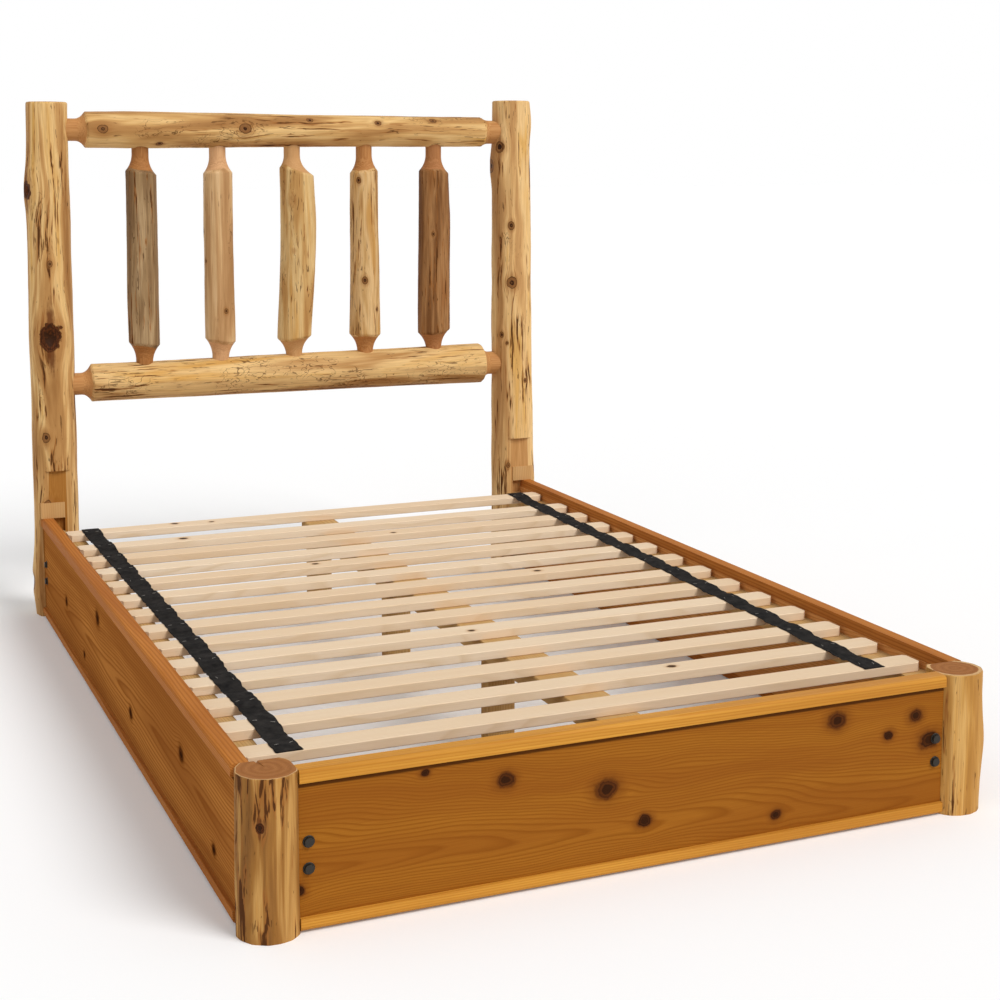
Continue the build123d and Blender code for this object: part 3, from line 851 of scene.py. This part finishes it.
# the pith line has a level, and lies behind the board, as measured from the middle of the bed
footPith = {"level": 0.10, "behind": 1.13, "facing": 1.0, "lean": 0.035, "climb": 0.03, "sway": 0.22,
            "spacing": 0.005}
footKnots = [((x, -bed["footFace"], z), size, dark) for x, z, size, dark in (
    (-0.425, 0.240, 0.007, 0.9), (-0.650, 0.072, 0.011, 1.0), (-0.277, 0.205, 0.014, 0.6),
    (-0.082, 0.160, 0.019, 0.5), (-0.004, 0.090, 0.012, 0.9), (0.272, 0.057, 0.010, 0.7),
    (0.403, 0.221, 0.017, 0.5), (0.582, 0.205, 0.013, 0.6), (0.520, 0.175, 0.010, 1.0),
    (0.614, 0.153, 0.018, 0.8))]
boardTop = bed["deckTop"] - bed["trim"]
dress(["foot_panel"], sawnFinish("foot_board_cedar", {**cedarLook, "trimShadowTop": boardTop}, "x", "z", footPith,
                                 footKnots))

sideLooks = {
    "left": {**cedarLook, "early": (188, 124, 60), "late": (144, 85, 34), "patch": (134, 75, 30),
             "fibre": (150, 92, 46), "shine": 0.0, "shift": 20, "trimShadowTop": boardTop},
    "right": {**cedarLook, "early": (222, 162, 98), "late": (190, 128, 68), "patch": (190, 122, 66),
              "fibre": (182, 120, 66), "shine": 0.0, "shift": 40},
}
sidePith = {"level": 0.12, "behind": -0.70, "lean": 0.02, "climb": 0.02, "sway": 0.08, "spacing": 0.007}
for side, name in ((-1, "left"), (1, "right")):
    sideKnots = [((side * bed["sideFace"], y, z), size, 0.3) for y, z, size in (
        (-0.62, 0.16, 0.014), (-0.86, 0.07, 0.010), (-0.15, 0.09, 0.012), (0.22, 0.20, 0.016),
        (0.41, 0.06, 0.009), (0.66, 0.13, 0.012))]
    pith = {**sidePith, "facing": side}
    dress([f"side_panel_{name}"],
          sawnFinish(f"side_board_{name}_cedar", sideLooks[name], "y", "z", pith, sideKnots))

trimLook = {**cedarLook, "early": (212, 152, 58), "late": (192, 128, 38), "patch": (176, 112, 34),
            "fibre": (176, 110, 40), "shine": 0.15}
trimPith = {"level": 0.9, "behind": 1.6, "facing": 1.0, "lean": 0.004, "climb": 0.01, "sway": 0.03,
            "spacing": 0.004}
trimEdge, frameEdge = 0.0018, 0.001
footTrims = ["foot_top_trim", "foot_bottom_trim"]
dress(footTrims, sawnFinish("foot_trim_wood", trimLook, "x", "z", trimPith), trimEdge)
sideTrimLook = {**cedarLook, "early": (194, 126, 60), "late": (162, 98, 42), "patch": (150, 84, 36),
                "fibre": (168, 100, 44), "shine": 0.02, "shift": 60}
sideTrims = [f"side_{height}_trim_{side}" for height in ("top", "bottom") for side in ("left", "right")]
dress(sideTrims, sawnFinish("side_trim_wood", sideTrimLook, "y", "z", {**trimPith, "behind": 0.4}), trimEdge)

slatLook = {**cedarLook, "early": (238, 218, 192), "late": (226, 202, 170), "fibre": (212, 184, 148),
            "fibreShare": 0.3, "patch": (228, 200, 166), "patchShare": 0.4, "halo": (200, 160, 116),
            "knot": (120, 84, 56), "roughness": 0.62, "dark": (218, 184, 144)}
slatPith = {"level": 0.1, "behind": 0.05, "facing": 0.0, "lean": 0.05, "climb": 0.01, "sway": 0.1,
            "spacing": 0.006}
# the first slat lies apart, and the others follow evenly, each with a tone that ends halfway to the next
slatPlaces = [bed["headSlatY"]]
slatPlaces += [bed["nextSlatY"] - index * bed["slatPitch"] for index in range(bed["slatCount"] - 1)]
slatTones = {"pieceFrom": bed["nextSlatY"] - 20.5 * bed["slatPitch"], "pieceEvery": bed["slatPitch"]}
slatKnots = [((x, slatPlaces[slat] + y, bed["slatTop"]), size, 0.8) for slat, x, y, size in (
    (0, -0.40, 0.012, 0.008), (0, -0.30, -0.004, 0.006), (1, -0.42, 0.004, 0.010), (2, 0.12, -0.01, 0.006),
    (4, -0.18, 0.006, 0.007), (6, 0.30, 0.0, 0.008), (9, -0.05, -0.012, 0.007), (12, 0.22, 0.006, 0.008))]
slats = [f"slat_{index + 1:02d}" for index in range(bed["slatCount"])]
dress(slats, sawnFinish("slat_wood", {**slatLook, **slatTones}, "x", "y", slatPith, slatKnots))
frameLook = {**slatLook, "early": (196, 158, 102), "late": (172, 130, 76), "patch": (176, 134, 80)}
blockLook = {**slatLook, "early": (202, 158, 102), "late": (190, 144, 90), "patch": (182, 136, 82),
             "shift": 80}
dress(["ledger_left", "ledger_right", "center_beam"], sawnFinish("ledger_wood", frameLook, "y", "x", slatPith),
      frameEdge)
uprights = [f"{place}_cleat_{side}" for place in ("head", "side_foot", "foot") for side in ("left", "right")]
uprights += [f"center_leg_{index + 1}" for index in range(3)]
dress(uprights, sawnFinish("upright_wood", frameLook, "z", "x", slatPith), frameEdge)
dress(["beam_seat"], sawnFinish("seat_wood", blockLook, "x", "z", slatPith))
dress(["head_block_left", "head_block_right"], sawnFinish("head_block_wood", blockLook, "z", "x", slatPith))
print("boards finished")

steel = Finish("black_steel")
grainOfSteel = steel.even(900, 3, 0.6)
steel.give({"Metallic": 0.5})
blackSteel = steel.close(steel.colours(grainOfSteel, [(0.3, tone(28, 26, 23)), (0.7, tone(60, 54, 46))]),
                         0.36 + grainOfSteel * 0.2, grainOfSteel, 0.0002, 0.5)

# lag bolts: washer and hexagon head are turned about the bolt's line, as (distance along it, radius, sides)
bolt = {"low": 0.108, "rise": 0.046, "headY": 0.977, "footX": 0.630, "around": 36}
boltRings = ((-0.030, 0.0047, 0), (-0.0002, 0.0047, 0), (-0.0002, 0.0098, 0), (0.0004, 0.0104, 0),
             (0.0013, 0.0104, 0), (0.0018, 0.0099, 0), (0.0018, 0.0087, 6), (0.0050, 0.0087, 6),
             (0.0061, 0.0078, 0), (0.0063, 0.0060, 0))
points, faces = [], []
boltSpots = [(Vector((side * bed["sideFace"], bolt["headY"], 0)), Vector((side, 0, 0))) for side in (-1, 1)]
boltSpots += [(Vector((side * bolt["footX"], -bed["footFace"], 0)), Vector((0, -1, 0))) for side in (-1, 1)]
for index, (spot, facing) in enumerate(boltSpots):
    across = facing.cross(Vector((0, 0, 1)))
    for step in range(2):
        level = bolt["low"] + step * bolt["rise"]
        twist = 0.4 + index * 0.37 + step * 0.9
        first = len(points)
        for along, radius, sides in boltRings:
            for turn in range(bolt["around"]):
                angle = -2 * pi * turn / bolt["around"]
                reach = radius * cos(pi / 6) / cos((angle + pi / 6) % (pi / 3) - pi / 6) if sides else radius
                aside = across * cos(angle + twist) * reach
                height = Vector((0, 0, level + sin(angle + twist) * reach))
                points.append(spot + facing * along + aside + height)
        faces += skin(len(boltRings), bolt["around"], first)
bolts = newPiece("lag_bolt_heads", points, faces, blackSteel)
bolts.data.set_sharp_from_angle(angle=radians(25))
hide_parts("lag_bolts")
print("bolts turned")


def strapX(shape, y):
    share = (shape["headY"] - y) / (shape["headY"] - shape["footY"])
    return shape["headX"] + (shape["footX"] - shape["headX"]) * share


def layStrap(shape, finish):
    # webbing over the slats: it rests on each one, dips a little between and is drawn in there
    half = bed["slatWidth"] / 2
    head, foot = shape["headY"], shape["footY"]
    steps = int((head - foot) / shape["step"])
    offsets = (-0.5, -0.46, -0.3, -0.1, 0.1, 0.3, 0.46, 0.5)
    points = []
    for step in range(steps + 1):
        y = head + (foot - head) * step / steps
        x = strapX(shape, y) + shape["waver"] * noise.noise(Vector((y * 5, shape["seed"], 0)))
        over = min(abs(y - middle) for middle in slatPlaces)
        loose = smoothStep(over - half, 0, (bed["slatPitch"] / 2 - half) * 0.7)
        z = bed["slatTop"] + 0.0002 - shape["sag"] * loose
        width = shape["width"] * (1 - 0.06 * loose + 0.05 * noise.noise(Vector((y * 22, 3 + shape["seed"], 0))))
        # the edge threads have pulled it into small scallops
        scallop = abs(sin(y * 95 + 3 * noise.noise(Vector((y * 9, shape["seed"], 4)))))
        for side, order in ((0, offsets), (1, offsets[::-1])):
            for offset in order:
                rim = abs(offset) == 0.5
                lift = shape["thickness"] * (side * (0.7 if rim else 1) + (1 - side) * (0.3 if rim else 0))
                spot = Vector((y * 55, offset * 4, shape["seed"]))
                pucker = shape["pucker"] * abs(offset) * noise.noise(spot)
                reach = offset * (width + shape["scallop"] * scallop * (abs(offset) > 0.4))
                points.append((x + reach, y, z + lift + max(pucker, -0.001 * loose)))
    strap = newPiece(shape["name"], points, skin(steps + 1, 2 * len(offsets)), finish)
    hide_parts(shape["node"])
    head - foot


staple = {"half": 0.0042, "wire": 0.0004, "rise": 0.0006, "aside": 0.3, "askew": 0.5, "stray": 0.012}


def stapleDown(shape, finish):
    # wire staples across the webbing at each slat, none of them quite square
    random = Random(shape["seed"])
    points, faces = [], []
    for middle in slatPlaces:
        for aside in (-staple["aside"], staple["aside"]):
            x = strapX(shape, middle) + aside * shape["width"]
            turn = random.uniform(-staple["askew"], staple["askew"]) + (pi / 2 if random.random() < 0.3 else 0)
            y = middle + random.uniform(-staple["stray"], staple["stray"])
            spot = Vector((x, y, bed["slatTop"] + shape["thickness"] + 0.0002))
            along, across = Vector((cos(turn), sin(turn), 0)), Vector((-sin(turn), cos(turn), 0))
            first = len(points)
            for reach, lift in ((-1, -staple["wire"]), (-0.9, staple["rise"]), (0.9, staple["rise"]),
                                (1, -staple["wire"])):
                for corner in range(8):
                    angle = pi / 4 * corner
                    thick = (across * cos(angle) + Vector((0, 0, sin(angle)))) * staple["wire"]
                    points.append(spot + along * reach * staple["half"] + Vector((0, 0, lift)) + thick)
            faces += skin(4, 8, first)
    newPiece(shape["name"] + "_staples", points, faces, finish)


webbing = Finish("black_webbing")
ribs = webbing.add("TexWave", {"bands_direction": "Y", "wave_profile": "SIN"},
                   {"Vector": webbing.spot, "Scale": 110.0, "Distortion": 0.6, "Detail": 2.0}, out="Fac")
dust = webbing.even(60, 3, 0.6)
webCloth = webbing.close(webbing.colours(dust, [(0.3, tone(17, 16, 16)), (0.75, tone(50, 47, 45))]),
                         0.82 + dust * 0.1, ribs + dust * 0.6, 0.0006)
wire = Finish("staple_wire")
shine = wire.even(700, 2)
wire.give({"Metallic": 0.9})
stapleWire = wire.close(wire.colours(shine, [(0.3, tone(110, 106, 100)), (0.7, tone(165, 160, 152))]),
                        0.3 + shine * 0.2, shine, 0.0001, 0.5)
strapBase = {"width": 0.046, "thickness": 0.0016, "sag": 0.0035, "waver": 0.003, "pucker": 0.0030,
             "scallop": 0.0035, "step": 0.005, "headY": 0.8965, "footY": -0.9455}
for side, places in (("left", {"headX": -0.630, "footX": -0.620, "seed": 3}),
                     ("right", {"headX": 0.636, "footX": 0.583, "seed": 8})):
    shape = {**strapBase, **places, "name": f"strap_{side}_webbing", "node": f"strap_{side}"}
    layStrap(shape, webCloth)
    stapleDown(shape, stapleWire)
print("straps laid and stapled")

# lift is what the floor adds where it is looked at, so that it joins the sky
studio = {"sky": 0.5, "key": 2.1, "fill": 0.35, "floor": 0.9, "lift": 0.08, "half": 60}


def shineFrom(name, azimuth, elevation, strength, softness):
    # a broad soft light, given in degrees by where it comes from: azimuth 0 is the foot end, 90 the right side
    lamp = bpy.data.lights.new(name, "SUN")
    lamp.energy, lamp.angle = strength, radians(softness)
    turn, lift = radians(azimuth), radians(elevation)
    source = Vector((sin(turn) * cos(lift), -cos(turn) * cos(lift), sin(lift)))
    putIn(name, lamp).rotation_euler = source.to_track_quat("Z", "Y").to_euler()


shineFrom("key_light", 32, 45, studio["key"], 30)
shineFrom("fill_light", -70, 30, studio["fill"], 60)

floorMesh = bpy.data.meshes.new("floor")
corners = [(x * studio["half"], y * studio["half"], 0) for x, y in ((-1, -1), (1, -1), (1, 1), (-1, 1))]
floorMesh.from_pydata(corners, [], [(0, 1, 2, 3)])
floor = putIn("floor", floorMesh)
floorFinish = Finish("pale_floor")
floorPale, floorLift = [[studio[key]] * 3 + [1] for key in ("floor", "lift")]
floorGlow = floorFinish.blend(floorFinish.looking(), (0, 0, 0, 1), floorLift)
floorMesh.materials.append(floorFinish.give({
    "Base Color": floorPale, "Roughness": 1.0, "Specular IOR Level": 0.0, "Emission Color": floorGlow,
    "Emission Strength": 1.0}))

world = bpy.data.worlds.new("studio")
bpy.context.scene.world = world
world.use_nodes = True
sky = Maker(world.node_tree)
background = world.node_tree.nodes["Background"]
background.inputs["Color"].default_value = (1, 1, 1, 1)
sky.feed(background.inputs["Strength"], sky.looking() * (1 - studio["sky"]) + studio["sky"])

lens = {"place": (-1.404, -3.579, 1.267), "yaw": 22.62, "pitch": 6.64, "focal": 59.8, "sensor": 36,
        "shiftX": 0.04, "shiftY": -0.15}
camera = putIn("camera", bpy.data.cameras.new("camera"))
camera.location = lens["place"]
camera.rotation_euler = (radians(90 - lens["pitch"]), 0, radians(-lens["yaw"]))
camera.data.lens = lens["focal"]
camera.data.sensor_width = lens["sensor"]
camera.data.shift_x, camera.data.shift_y = lens["shiftX"], lens["shiftY"]
bpy.context.scene.camera = camera
bpy.context.scene.view_settings.view_transform = "Standard"
print("studio lit")

print("scene ready")
